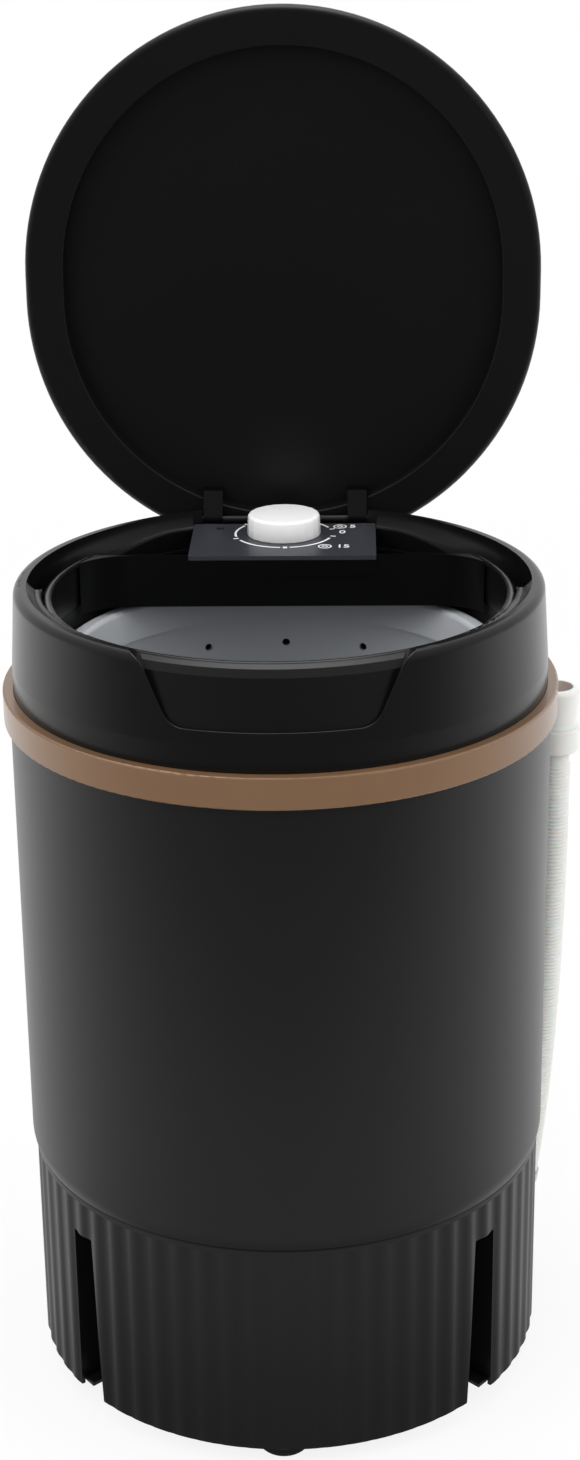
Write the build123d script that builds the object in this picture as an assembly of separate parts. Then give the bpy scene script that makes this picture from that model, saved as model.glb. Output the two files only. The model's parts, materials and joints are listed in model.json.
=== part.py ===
from build123d import *
import math
import os

# A portable top-loading washing machine: a round cabinet on four feet, a lid that stands open
# behind the tub, a control box across the back of the mouth, a wash tub with a spin basket and a
# pulsator driven by a belt, and a ribbed drain hose held upright on the right side.
# Millimetres, +Z up, the front faces -Y. The origin is on the floor, on the tub's axis.

# Cabinet heights, upwards from the floor
floor_gap = 11.0
skirt_height = 149.0
body_height = 297.5
band_height = 20.2
collar_height = 65.3

# Cabinet radii
body_radius = 171.8
skirt_radius = 169.4
band_proud = 4.0
collar_radius = 169.1
rim_radius = 166.0
shell_wall = 2.5
seat_gap = 0.2
rest_gap = 0.3

# Body and skirt details
body_foot_rise = 9.0
body_foot_inset = 2.1
body_band_lap = 8.0
collar_body_lap = 1.0
flute_count = 64
flute_depth = 1.4
skirt_foot_round = 2.0
skirt_top_band = 4.0
skirt_lip_height = 9.0
slot_azimuth = 49.0
rear_slot_azimuth = 131.0
slot_height = 120.5
slot_near_top = 4.6
slot_near_foot = 12.4
slot_far = 14.4
slot_depth = 16.0

# Collar top: rim, land, gutter, finger recess and hinge pocket
rim_shoulder = 5.0
rim_flat = 3.0
collar_taper_height = 50.0
land_drop = 4.2
mouth_wall_radius = 148.5
mouth_wall = 2.5
gutter_depth = 23.0
gutter_end_azimuth = 84.5
recess_height = 40.5
recess_top_half = 100.0
recess_knee_half = 78.0
recess_foot_half = 59.5
recess_knee_round = 14.0
recess_foot_round = 14.0
recess_foot_inset = 2.3
recess_brow = (160.8, 10.0)
recess_ledge = (157.2, 5.8)
recess_edge_round = 0.8
pocket_half_width = 56.5
pocket_depth = 33.0
pocket_front = 147.5
pocket_wall_drop = 9.5
pocket_wall = 3.0

# Tub mouth ring and control box
ring_drop = 8.0
ring_radius = 147.0
ring_width = 4.4
ring_wall = 2.8
ring_foot = 2.5
ring_crown = 0.7
tub_flange_drop = 37.0
box_front = 71.0
box_half_width = 61.6
box_floor_drop = 43.0
box_fascia_height = 11.0
box_fascia_proud = 1.6
mouth_corner_radius = 36.0
mouth_corner_edge = 0.8
panel_thickness = 3.0

# Lid, in its closed place
lid_radius = 172.0
lid_straight = 17.5
lid_tail = 23.7
lid_rest_gap = 0.5
lid_ring_width = 25.7
lid_recess = 12.5
lid_side_height = 9.5
lid_cover_height = 10.0
lid_wall = 2.5
lid_edge_round = 4.5
lid_top_round = 9.0
lid_recess_round = 1.4
lid_open_angle = 92.0
hinge_y = 152.0
hinge_drop = 6.5
hinge_rod_radius = 2.0
hinge_arm_x = 49.2
hinge_arm_width = 13.0
hinge_arm_reach = 18.0
knuckle_radius = 4.0
running_gap = 0.05

# Timer and lid switch
knob_radius = 24.4
knob_height = 13.4
knob_top_chamfer = 1.2
knob_gap = 1.1
knob_wall = 2.6
timer_y = 121.0
timer_side = 40.0
timer_height = 22.0
timer_shaft_radius = 3.0
timer_neck_radius = 5.5
switch_x = -43.5
switch_y = 133.5
switch_hole = 5.0
switch_stem = 1.5
switch_travel = 3.0

# Tub, basket and pulsator
tub_radius = 150.0
tub_wall = 3.0
tub_floor_z = 180.0
tub_flange_radius = 162.5
basket_radius = 141.0
basket_wall = 2.7
basket_floor_lift = 14.0
basket_hole_radius = 2.6
basket_hole_rows = 6
basket_hole_columns = 16
balance_height = 23.0
balance_width = 11.0
basket_top_gap = 5.0
pulsator_radius = 120.0
pulsator_rise = 26.0
pulsator_vanes = 4

# Drive
shaft_radius = 8.0
hub_tube_radius = 12.0
bearing_radius = 21.0
bearing_width = 12.0
housing_radius = 30.0
housing_height = 66.0
housing_flange_radius = 52.0
plate_thickness = 3.0
pulley_radius = 62.0
motor_pulley_radius = 17.0
groove_depth = 4.0
pulley_width = 14.0
belt_width = 6.0
belt_drop = 21.0
motor_offset = 95.0
motor_azimuth = -90.0
motor_radius = 40.0
motor_height = 52.0
motor_shaft_radius = 5.0
bush_radius = 7.0
bolt_radius = 2.0
capacitor_radius = 18.0
capacitor_height = 60.0
capacitor_place = (85.0, -60.0)

# Feet, base pan and screws
foot_circle = 147.0
foot_radius = 17.5
foot_tread_radius = 12.5
pan_lift = 2.5
pan_thickness = 2.5
pan_notch_radius = 156.0
pan_notch_half = 11.5
pan_notch_shift = 2.4
screen_radius = 150.0
screen_half_angle = 9.0
screw_radius = 1.75
screw_head_radius = 4.0
screw_head_height = 2.3
tub_screw_circle = 155.5
tub_screw_azimuths = (-150, -100, -50, 50, 100, 150)
pan_screw_circle = 161.0
pan_screw_azimuths = (22, 158, 202, 338)
foot_azimuths = (0, 90, 180, 270)
housing_screw_circle = 44.0
housing_screw_azimuths = (15, 105, 195, 285)
bracket_bolt_circle = 36.5
bracket_bolt_azimuths = (30, 90, 150, 210, 270)
timer_screw_x = 15.0

# Drain hose: its route from the outlet up to the nut, chosen by hand
hose_points = [(165.4, 78.5, 60.0), (181.6, 57.9, 191.2), (180.3, 58.2, 404.0)]
hose_bend = 564.0
hose_radius = 10.5
hose_bore = 8.0
rib_pitch = 2.7
rib_depth = 0.9
hose_cuff = 9.0
nut_radius = 15.8
nut_height = 17.0
spout_radius = 14.9
spout_waist = 13.8
spout_height = 27.0
spout_bore = 10.9
clip_wall = 2.2
outlet_radius = 16.0
outlet_z = 38.0
outlet_bend = 11.0
outlet_top_z = 100.0
spigot_length = 16.0
pipe_wall = 2.0
port_circle = 135.0
gland_azimuth = 215.0
gland_z = 40.0
gland_radius = 8.0
gland_bore = 3.6

# Heights and radii that follow
skirt_foot_z = floor_gap
seam_z = floor_gap + skirt_height
band_foot_z = seam_z + body_height
band_top_z = band_foot_z + band_height
rim_z = band_top_z + collar_height
body_top_z = band_foot_z + body_band_lap
band_radius = body_radius + band_proud
skirt_inner = skirt_radius - flute_depth - shell_wall
land_radius = mouth_wall_radius + mouth_wall + 1.8
rim_inner = rim_radius - rim_shoulder - rim_flat
gutter_z = rim_z - gutter_depth
recess_z = rim_z - recess_height
flange_z = rim_z - tub_flange_drop
ring_z = rim_z - ring_drop
panel_z = ring_z
box_floor_z = rim_z - box_floor_drop
hinge_z = rim_z - hinge_drop
lid_ring_z = rim_z + lid_rest_gap
lid_back_y = hinge_y + lid_tail
lid_centre_y = lid_back_y - lid_radius - lid_straight / 2
basket_floor_z = tub_floor_z + basket_floor_lift
basket_top_z = box_floor_z - basket_top_gap
pan_z = skirt_foot_z + pan_lift
pan_top_z = pan_z + pan_thickness
housing_top_z = tub_floor_z - rest_gap
housing_foot_z = tub_floor_z - plate_thickness - housing_height
bracket_z = housing_foot_z - seat_gap - plate_thickness
belt_z = bracket_z - belt_drop
motor_z = bracket_z + plate_thickness + plate_thickness
knob_foot_z = panel_z + knob_gap
knob_top_z = knob_foot_z + knob_height
box_back_y = pocket_front - pocket_wall - 2 * seat_gap


def heading(azimuth):
    """Unit direction at an azimuth counted from the front, towards +X."""
    a = math.radians(azimuth)
    return math.sin(a), -math.cos(a)


def at(radius, azimuth, z=0.0):
    x, y = heading(azimuth)
    return Pos(radius * x, radius * y, z)


def facing(radius, azimuth, z):
    """Place with local Z pointing outwards at an azimuth and local Y up."""
    x, y = heading(azimuth)
    return Location(Plane(origin=(radius * x, radius * y, z), x_dir=(-y, x, 0), z_dir=(x, y, 0)))


def post(radius, z_low, z_high):
    return Pos(0, 0, z_low) * Cylinder(radius, z_high - z_low, align=(Align.CENTER, Align.CENTER, Align.MIN))


def tube(outer, inner, z_low, z_high):
    return post(outer, z_low, z_high) - post(inner, z_low - 1, z_high + 1)


def block(x_low, x_high, y_low, y_high, z_low, z_high):
    return Pos((x_low + x_high) / 2, (y_low + y_high) / 2, (z_low + z_high) / 2) * Box(
        x_high - x_low, y_high - y_low, z_high - z_low
    )


def outline(*parts):
    """Face from a list of points and arc triples; an arc starts at the point before it."""
    edges, last = [], parts[0]
    for part in parts[1:] + (parts[0],):
        if isinstance(part[0], tuple):
            edges.append(ThreePointArc(last, part[0], part[1]))
            last = part[1]
        elif part != last:
            edges.append(Line(last, part))
            last = part
    return make_face(Curve() + edges)


def turned(*parts, start=0.0, sweep=360.0):
    """Solid of revolution of a section given as (radius, height), from one azimuth onwards."""
    face = Plane.XZ * outline(*parts)
    return Rot(0, 0, start - 90) * revolve(face, Axis.Z, sweep)


def corner_arc(start, end, bulge):
    """Arc triple from start to end whose middle leaves the chord by the bulge, to its right."""
    dx, dy = end[0] - start[0], end[1] - start[1]
    length = math.hypot(dx, dy)
    middle = (
        (start[0] + end[0]) / 2 + bulge * dy / length,
        (start[1] + end[1]) / 2 - bulge * dx / length,
    )
    return middle, end


def wall_radius(z):
    """Outer radius of the collar's wall at a height."""
    taper_z = rim_z - collar_taper_height
    share = min(max((z - taper_z) / collar_taper_height, 0.0), 1.0)
    return collar_radius + (rim_radius - collar_radius) * share


def screw(z_head, z_tip, head_up=True, radius=screw_radius, head=screw_head_radius):
    """Pan-head screw on the Z axis, with its head's seat at z_head."""
    side = 1 if head_up else -1
    low, high = sorted((z_head, z_head + side * screw_head_height))
    top = fillet(post(head, low, high).edges().group_by(Axis.Z)[-1 if head_up else 0], 0.8)
    shank_low, shank_high = sorted((z_head, z_tip))
    drive = post(head * 0.25, high - 0.9, high + 1) if head_up else post(head * 0.25, low - 1, low + 0.9)
    return (top - drive) + post(radius, shank_low, shank_high)


def recess_outline(grow=0.0):
    """Face of the finger recess as seen from the front, in the XZ plane."""
    half = [
        (recess_top_half + grow, rim_z + 2),
        (recess_knee_half + grow, rim_z),
        (recess_foot_half + grow, recess_z - grow),
    ]
    points = half + [(-x, z) for x, z in reversed(half)]
    face = Plane.XZ * make_face(Polyline(*points, close=True))
    face = fillet(face.vertices().group_by(Axis.Z)[0], recess_foot_round)
    knees = face.vertices().filter_by(lambda v: abs(abs(v.X) - recess_knee_half - grow) < 0.01)
    return fillet(knees, recess_knee_round)


def recess_skin(inset=0.0):
    """Line of the recess's wall from the mouth's land down to its foot, or one that lies behind it."""
    brow_radius, brow_drop = recess_brow
    ledge_radius, ledge_drop = recess_ledge
    return [
        (land_radius - inset, rim_z - land_drop - inset / 2),
        (ledge_radius - inset / 2, rim_z - ledge_drop - inset),
        (brow_radius - inset, rim_z - brow_drop - inset / 2),
        (wall_radius(recess_z) - recess_foot_inset - inset, recess_z - inset),
    ]


def recess_prism(grow=0.0):
    face = recess_outline(grow)
    return extrude(face, amount=200, dir=(0, -1, 0)) - block(-200, 200, -100, 10, 0, rim_z + 50)


def collar_skin():
    """Outer line of the collar from its foot to the inner edge of its rim."""
    foot_z = band_foot_z - collar_body_lap
    return foot_z, [
        (collar_radius, foot_z),
        (collar_radius, rim_z - collar_taper_height),
        (wall_radius(rim_z - rim_shoulder), rim_z - rim_shoulder),
        corner_arc(
            (wall_radius(rim_z - rim_shoulder), rim_z - rim_shoulder),
            (rim_radius - rim_shoulder, rim_z),
            rim_shoulder * 0.29,
        ),
        (rim_inner, rim_z),
    ]


def collar_front(cavity):
    """Front of the collar: first a thick ring with the finger recess, then hollowed to its walls."""
    foot_z, skin = collar_skin()
    wall_foot_z = flange_z + ring_foot + 2 * rest_gap
    span = {"start": -gutter_end_azimuth, "sweep": 2 * gutter_end_azimuth}
    thick = turned(
        (mouth_wall_radius, foot_z),
        *skin,
        (land_radius, rim_z - land_drop),
        corner_arc((land_radius, rim_z - land_drop), (mouth_wall_radius, rim_z - land_drop - 1), 1.4),
        **span,
    )
    thick -= recess_cutter()
    thick = fillet(recess_edges(thick), recess_edge_round)
    hollow = turned(
        (collar_radius - shell_wall, foot_z - 1),
        (collar_radius - shell_wall, rim_z - collar_taper_height),
        (cavity, rim_z - mouth_wall),
        (rim_inner, rim_z - mouth_wall),
        (mouth_wall_radius + mouth_wall, rim_z - land_drop - mouth_wall),
        (mouth_wall_radius + mouth_wall, wall_foot_z),
        (mouth_wall_radius - 1, wall_foot_z),
        (mouth_wall_radius - 1, foot_z - 1),
        **span,
    )
    return thick - (hollow - recess_filler())


def make_collar():
    foot_z, skin = collar_skin()
    cavity = rim_radius - rim_shoulder + 1.8
    back = turned(
        (collar_radius - shell_wall, foot_z),
        *skin,
        (rim_inner, gutter_z),
        (mouth_wall_radius, gutter_z),
        (mouth_wall_radius, gutter_z - mouth_wall),
        (rim_inner + mouth_wall, gutter_z - mouth_wall),
        (rim_inner + mouth_wall, rim_z - mouth_wall),
        (cavity, rim_z - mouth_wall),
        (collar_radius - shell_wall, rim_z - collar_taper_height),
        start=gutter_end_azimuth,
        sweep=360 - 2 * gutter_end_azimuth,
    )
    solid = collar_front(cavity) + back
    end_section = (
        (mouth_wall_radius, gutter_z - mouth_wall),
        (wall_radius(gutter_z) - shell_wall / 2, gutter_z - mouth_wall),
        (rim_radius - rim_shoulder, rim_z - 1),
        (rim_inner, rim_z),
        (land_radius, rim_z - land_drop),
        (mouth_wall_radius, rim_z - land_drop - 1),
    )
    gutter_mid = (mouth_wall_radius + rim_inner) / 2
    gutter_end = (rim_inner - mouth_wall_radius) / 2
    for side in (-1, 1):
        edge = side * gutter_end_azimuth
        solid += turned(*end_section, start=edge - 3, sweep=6)
        solid -= at(gutter_mid, edge + side * 3) * post(gutter_end, gutter_z, rim_z + 1)
    for azimuth in tub_screw_azimuths:
        top = gutter_z - 1 if abs(azimuth) > gutter_end_azimuth else rim_z - land_drop - 1
        solid += at(tub_screw_circle, azimuth) * post(screw_head_radius, flange_z + rest_gap, top)
        solid -= at(tub_screw_circle, azimuth) * post(screw_radius, flange_z - 1, gutter_z - 1)
    return solid + pocket_filler() - pocket_cutter()


def recess_filler():
    """Material behind and beside the finger recess, one wall thick once the recess is cut."""
    _, skin = collar_skin()
    wedge = turned(
        (wall_radius(recess_z), recess_z - shell_wall),
        *skin[2:],
        (land_radius, rim_z - land_drop),
        *recess_skin(shell_wall),
        start=-45,
        sweep=90,
    )
    return wedge & recess_prism(shell_wall)


def recess_cutter():
    """Everything outside the wall that the recess goes back to."""
    outside = turned(
        (land_radius, rim_z + 1),
        *recess_skin(),
        (body_radius + 30, recess_z),
        (body_radius + 30, rim_z + 1),
        start=-45,
        sweep=90,
    )
    return outside & recess_prism()


def recess_edges(solid):
    """Edges where the recess cuts the collar's outer wall: its foot line, foot corners and sides."""
    def on_outline(edge):
        middle = edge @ 0.5
        outer = math.hypot(middle.X, middle.Y) > wall_radius(middle.Z) - 0.3
        low, high = recess_z - 0.1, rim_z - rim_shoulder
        return outer and middle.Y < 0 and abs(middle.X) < recess_knee_half and low < middle.Z < high

    return solid.edges().filter_by(on_outline)


def pocket_filler():
    """Side, floor and front walls of the pocket that the open lid's edge stands in."""
    x = pocket_half_width + pocket_wall
    box = block(-x, x, pocket_front - pocket_wall, 200, rim_z - pocket_depth - pocket_wall, rim_z)
    _, skin = collar_skin()
    inside = turned((0, recess_z - 20), (collar_radius, recess_z - 20), *skin[2:], (0, rim_z))
    front = block(-x, x, 0, pocket_front, rim_z - pocket_wall_drop, rim_z + 5)
    return (box & inside) - front


def pocket_cutter():
    pocket = block(
        -pocket_half_width, pocket_half_width, pocket_front, 200, rim_z - pocket_depth, rim_z + 5
    )
    bore = Pos(0, hinge_y, hinge_z) * Rot(0, 90, 0) * Cylinder(
        hinge_rod_radius + running_gap, 2 * (pocket_half_width + pocket_wall) + 1
    )
    return pocket + bore


def make_trim_band():
    split = body_top_z + rest_gap
    return turned(
        (body_radius + seat_gap, band_foot_z),
        (band_radius - 1, band_foot_z),
        corner_arc((band_radius - 1, band_foot_z), (band_radius, band_foot_z + 1), 0.29),
        (band_radius, band_top_z - 1.2),
        corner_arc((band_radius, band_top_z - 1.2), (band_radius - 1.2, band_top_z), 0.35),
        (collar_radius + seat_gap, band_top_z),
        (collar_radius + seat_gap, split),
        (body_radius + seat_gap, split),
    )


def make_body_shell():
    foot = (body_radius - body_foot_inset, seam_z + rest_gap)
    full = (body_radius, seam_z + rest_gap + body_foot_rise)
    inner_foot = (foot[0] - shell_wall, foot[1])
    inner_full = (full[0] - shell_wall, full[1])
    bulge = body_foot_inset * 0.25
    shell = turned(
        foot,
        corner_arc(foot, full, bulge),
        (body_radius, body_top_z),
        (body_radius - shell_wall, body_top_z),
        inner_full,
        corner_arc(inner_full, inner_foot, -bulge),
    )
    hole = facing(body_radius, hose_azimuth, clip_screw_z) * Cylinder(screw_radius + 0.1, 20)
    return shell - hole


def slot_prism(side, rear, grow=0.0, inner=0.0):
    """Radial prism of one upright slot, open at its foot."""
    azimuth = side * (rear_slot_azimuth if rear else slot_azimuth)
    turn = side * (-1 if rear else 1)
    top, foot, far = slot_near_top + grow, slot_near_foot + grow, slot_far + grow
    high = slot_height + grow
    points = [(-turn * foot, -1), (-turn * top, high), (turn * far, high), (turn * far, -1)]
    face = make_face(Polyline(*points, close=True))
    length = skirt_radius + 5 - inner
    return facing(inner, azimuth, skirt_foot_z) * extrude(face, amount=length)


def fluted_column(z_low, z_high):
    """Upright column whose outline is a soft wave: crests and hollows of arcs that flow together."""
    step = 360 / flute_count
    between = skirt_radius - flute_depth / 2

    def point(radius, turns):
        x, y = heading(turns * step)
        return radius * x, radius * y

    edges = []
    for i in range(flute_count):
        for turns, radius in ((i, skirt_radius), (i + 0.5, skirt_radius - flute_depth)):
            ends = point(between, turns - 0.25), point(between, turns + 0.25)
            edges.append(ThreePointArc(ends[0], point(radius, turns), ends[1]))
    return Pos(0, 0, z_low) * extrude(make_face(Curve() + edges), amount=z_high - z_low)


def make_base_skirt():
    flute_top = seam_z - skirt_top_band
    rounded = skirt_radius - skirt_foot_round
    foot_cut = turned(
        (0, skirt_foot_z),
        (rounded, skirt_foot_z),
        corner_arc((rounded, skirt_foot_z), (skirt_radius, skirt_foot_z + skirt_foot_round), 0.55),
        (skirt_radius, flute_top),
        (0, flute_top),
    )
    outer = fluted_column(skirt_foot_z, flute_top) & foot_cut
    crown = turned(
        (0, flute_top),
        (skirt_radius, flute_top),
        (skirt_radius, seam_z - 1.5),
        corner_arc((skirt_radius, seam_z - 1.5), (skirt_radius - 1.5, seam_z), 0.43),
        (0, seam_z),
    )
    solid = outer + crown - post(skirt_inner, 0, seam_z + 1)
    lip = body_radius - body_foot_inset - shell_wall - seat_gap
    solid += tube(lip, lip - shell_wall, seam_z - skirt_lip_height, seam_z + skirt_lip_height)
    solid += tube(skirt_inner + 1, lip - shell_wall, seam_z - skirt_lip_height, seam_z - 4)
    for side in (-1, 1):
        for rear in (False, True):
            liner = slot_prism(side, rear, shell_wall, skirt_inner - slot_depth)
            liner = liner & tube(skirt_inner + 1, skirt_inner - slot_depth, pan_top_z + 1, seam_z)
            solid = solid + liner - slot_prism(side, rear, 0.0, 100)
    for azimuth in pan_screw_azimuths:
        solid += at(pan_screw_circle, azimuth) * post(5, pan_top_z + rest_gap, pan_top_z + 24)
        solid -= at(pan_screw_circle, azimuth) * post(screw_radius, 0, pan_top_z + 18)
    solid -= facing(skirt_inner, outlet_azimuth, outlet_z) * Cylinder(hose_bore + seat_gap, 40)
    solid -= facing(skirt_inner, gland_azimuth, gland_z) * Cylinder(gland_radius + seat_gap, 40)
    return solid


def make_base_pan():
    solid = post(skirt_inner - seat_gap, pan_z, pan_top_z)
    for side in (-1, 1):
        for base, turn in ((slot_azimuth, 1), (rear_slot_azimuth, -1)):
            notch = tube(skirt_radius, pan_notch_radius, pan_z - 1, pan_top_z + 1)
            middle = side * (base - turn * pan_notch_shift)
            room = facing(0, middle, 0) * block(-pan_notch_half, pan_notch_half, 0, 60, 0, 200)
            solid -= notch & room
            solid += turned(
                (screen_radius - pan_thickness, pan_z + 1),
                (screen_radius - 1, pan_z + 1),
                (screen_radius - 1, skirt_foot_z + slot_height),
                (screen_radius - pan_thickness, skirt_foot_z + slot_height),
                start=side * base - screen_half_angle,
                sweep=2 * screen_half_angle,
            )
    for azimuth in foot_azimuths:
        solid += at(foot_circle, azimuth) * post(6, pan_z, pan_top_z + 10)
        solid -= at(foot_circle, azimuth) * post(screw_radius, pan_z - 1, pan_top_z + 8)
    for azimuth in pan_screw_azimuths:
        solid -= at(pan_screw_circle, azimuth) * post(screw_radius + 0.2, 0, pan_top_z + 1)
    return solid


def make_rubber_feet():
    height = pan_z - seat_gap
    counterbore = height - 5
    side_arc = corner_arc((foot_tread_radius, 0), (foot_radius, height * 0.55), 1.6)
    foot = turned(
        (screw_head_radius + 1, 0),
        (foot_tread_radius, 0),
        side_arc,
        (foot_radius, height),
        (screw_radius + 0.2, height),
        (screw_radius + 0.2, counterbore),
        (screw_head_radius + 1, counterbore),
    )
    return [at(foot_circle, azimuth) * foot for azimuth in foot_azimuths]


def make_foot_screws():
    seat = pan_z - seat_gap - 5
    one = screw(seat, pan_top_z + 7, head_up=False)
    return [at(foot_circle, azimuth) * one for azimuth in foot_azimuths]


def make_pan_screws():
    one = screw(pan_z, pan_top_z + 17, head_up=False)
    return [at(pan_screw_circle, azimuth) * one for azimuth in pan_screw_azimuths]


def make_wash_tub():
    inner = tub_radius - tub_wall
    shell = turned(
        (hub_tube_radius + 10, tub_floor_z),
        (tub_radius, tub_floor_z),
        (tub_radius, flange_z - tub_wall),
        (tub_flange_radius, flange_z - tub_wall),
        (tub_flange_radius, flange_z),
        (inner, flange_z),
        (inner, tub_floor_z + tub_wall),
        (hub_tube_radius + 10, tub_floor_z + tub_wall),
    )
    port = at(port_circle, outlet_azimuth)
    shell += port * post(hose_bore - 0.1, tub_floor_z - spigot_length, tub_floor_z + 1)
    shell -= port * post(hose_bore - pipe_wall, tub_floor_z - spigot_length - 1, tub_floor_z + tub_wall + 1)
    for azimuth in tub_screw_azimuths:
        shell -= at(tub_screw_circle, azimuth) * post(screw_radius + 0.2, flange_z - 5, flange_z + 1)
    for azimuth in housing_screw_azimuths:
        shell -= at(housing_screw_circle, azimuth) * post(
            screw_radius, tub_floor_z - 1, tub_floor_z + tub_wall + 1
        )
    return shell


def make_tub_screws():
    one = screw(flange_z - tub_wall, gutter_z - 3, head_up=False)
    return [at(tub_screw_circle, azimuth) * one for azimuth in tub_screw_azimuths]


def make_tub_ring():
    low = flange_z + seat_gap
    bead_z = ring_z - ring_width / 2
    wall_inner = ring_radius - ring_wall
    ring = turned(
        (wall_inner, low),
        (tub_radius, low),
        (tub_radius, low + ring_foot),
        (ring_radius, low + ring_foot),
        (ring_radius, ring_z - ring_crown),
        ((ring_radius - ring_width / 2, ring_z), (ring_radius - ring_width, ring_z - ring_crown)),
        (ring_radius - ring_width, bead_z),
        (wall_inner, bead_z - 2),
    )
    return ring - block(-200, 200, box_front - rest_gap, 200, 0, rim_z + 10)


def mouth_corner(side):
    """Rounded end of the box's front: an upright wall on an arc, and a cap from it to the ring."""
    reach = ring_radius - ring_width - rest_gap
    away = reach + mouth_corner_edge - mouth_corner_radius
    y = box_front - mouth_corner_radius
    x = math.sqrt(away**2 - y**2)
    centre = Pos(side * x, y, 0)
    low, high = sorted((side * x, side * reach))
    start_y = y * reach / away
    area = block(low, high, start_y, box_front + 1, box_floor_z, ring_z)
    area &= post(reach, box_floor_z, ring_z)
    area -= centre * post(mouth_corner_radius, 0, rim_z)
    inside = block(low, high, start_y - 1, box_front + 1, box_floor_z - 1, ring_z - shell_wall)
    return area - (inside - centre * post(mouth_corner_radius + shell_wall, 0, rim_z))


def make_control_housing():
    bowl = ring_radius - rest_gap
    low = flange_z + seat_gap
    shelf_z = gutter_z + rest_gap
    shelf_radius = rim_inner - 2 * rest_gap
    top = panel_z - panel_thickness
    keep = block(-200, 200, box_front, box_back_y, 0, rim_z + 10)
    floor = post(bowl, box_floor_z, box_floor_z + ring_wall)
    wall = tube(bowl, bowl - ring_wall, box_floor_z, gutter_z)
    foot = tube(tub_radius, bowl - ring_wall, low, low + ring_foot)
    front = block(-bowl, bowl, box_front, box_front + shell_wall, box_floor_z, ring_z)
    solid = ((floor + wall + foot) & keep) + (front & post(bowl, 0, rim_z))
    for side in (-1, 1):
        solid += mouth_corner(side)
    centre = block(-box_half_width, box_half_width, box_front, box_back_y, box_floor_z, top)
    solid += centre & (post(bowl, 0, top) + post(shelf_radius, shelf_z, top))
    half = box_half_width - shell_wall
    room = block(-half, half, box_front + shell_wall, box_back_y - shell_wall, box_floor_z + ring_wall, top + 1)
    solid -= room & post(bowl - ring_wall, 0, rim_z)
    solid -= room & post(shelf_radius - shell_wall, shelf_z + shell_wall, rim_z)
    fascia_y = box_front - box_fascia_proud
    solid += block(-box_half_width, box_half_width, fascia_y, box_front + 1, top - box_fascia_height, top)
    return solid - block(-box_half_width, box_half_width, fascia_y - 1, box_front + shell_wall, top, rim_z)


def make_control_panel():
    half = box_half_width
    y_low = box_front - box_fascia_proud
    plate = block(-half, half, y_low, box_back_y, panel_z - panel_thickness + seat_gap, panel_z)
    plate = fillet(plate.edges().filter_by(Axis.Z), 1.5)
    plate -= Pos(0, timer_y, 0) * post(timer_neck_radius + 0.2, 0, panel_z + 1)
    for side in (-1, 1):
        plate -= Pos(side * timer_screw_x, timer_y, 0) * post(screw_radius + 0.2, 0, panel_z + 1)
    hole = switch_hole / 2
    plate -= block(
        switch_x - hole, switch_x + hole, switch_y - hole, switch_y + hole, 0, panel_z + 1
    )
    return plate


def make_timer_body():
    top = panel_z - panel_thickness - 0.1
    half = timer_side / 2
    body = block(-half, half, timer_y - half, timer_y + half, top - timer_height, top)
    body = fillet(body.edges().filter_by(Axis.Z), 3)
    body += Pos(0, timer_y, 0) * post(timer_neck_radius, top - 1, panel_z + 0.5)
    body -= Pos(0, timer_y, 0) * post(timer_shaft_radius + running_gap, top - 16, panel_z + 1)
    for side in (-1, 1):
        body -= Pos(side * timer_screw_x, timer_y, 0) * post(screw_radius, top - 8, top + 1)
    return body


def make_timer_screws():
    head_height = screw_head_height
    one = screw(panel_z, panel_z - panel_thickness - 7)
    one = one - post(screw_head_radius + 1, panel_z + 1.3, panel_z + head_height + 1)
    return [Pos(side * timer_screw_x, timer_y, 0) * one for side in (-1, 1)]


def make_timer_shaft():
    foot = panel_z - panel_thickness - 15.5
    return Pos(0, timer_y, 0) * post(timer_shaft_radius, foot, knob_top_z - knob_wall - 0.3)


def make_timer_knob():
    knob = turned(
        (0, knob_foot_z),
        (knob_radius, knob_foot_z),
        (knob_radius - 0.3, knob_top_z - knob_top_chamfer),
        (knob_radius - knob_top_chamfer, knob_top_z),
        (0, knob_top_z),
    )
    hollow = tube(knob_radius - knob_wall, 7, knob_foot_z - 1, knob_top_z - knob_wall)
    bore = post(timer_shaft_radius + running_gap, knob_foot_z - 1, knob_top_z - knob_wall)
    return Pos(0, timer_y, 0) * (knob - hollow - bore)


def make_lid_switch():
    low = gutter_z + rest_gap + shell_wall + seat_gap
    top = panel_z - panel_thickness - seat_gap
    body = block(switch_x - 7, switch_x + 7, switch_y - 6, switch_y + 4, low, top)
    return body - Pos(switch_x, switch_y, 0) * post(switch_stem + running_gap, low + 1, top + 1)


def make_lid_switch_button():
    low = gutter_z + rest_gap + shell_wall + seat_gap + 1 + switch_travel + rest_gap
    top = panel_z - 1.0
    return Pos(switch_x, switch_y, 0) * post(switch_stem, low, top)


def stadium(radius, straight):
    """Lid outline: two half circles parted by short straight sides along Y."""
    half = straight / 2
    edges = [
        Line((radius, -half), (radius, half)),
        ThreePointArc((radius, half), (0, half + radius), (-radius, half)),
        Line((-radius, half), (-radius, -half)),
        ThreePointArc((-radius, -half), (0, -half - radius), (radius, -half)),
    ]
    return make_face(Curve() + edges)


def lid_slab(inset, z_low, z_high):
    face = stadium(lid_radius - inset, lid_straight)
    return Pos(0, lid_centre_y, z_low) * extrude(face, amount=z_high - z_low)


def opened(solid):
    """Swing a piece modelled on the closed lid back to where the lid stands open."""
    place = Pos(0, hinge_y, hinge_z)
    return place * Rot(-lid_open_angle, 0, 0) * place.inverse() * solid


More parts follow.
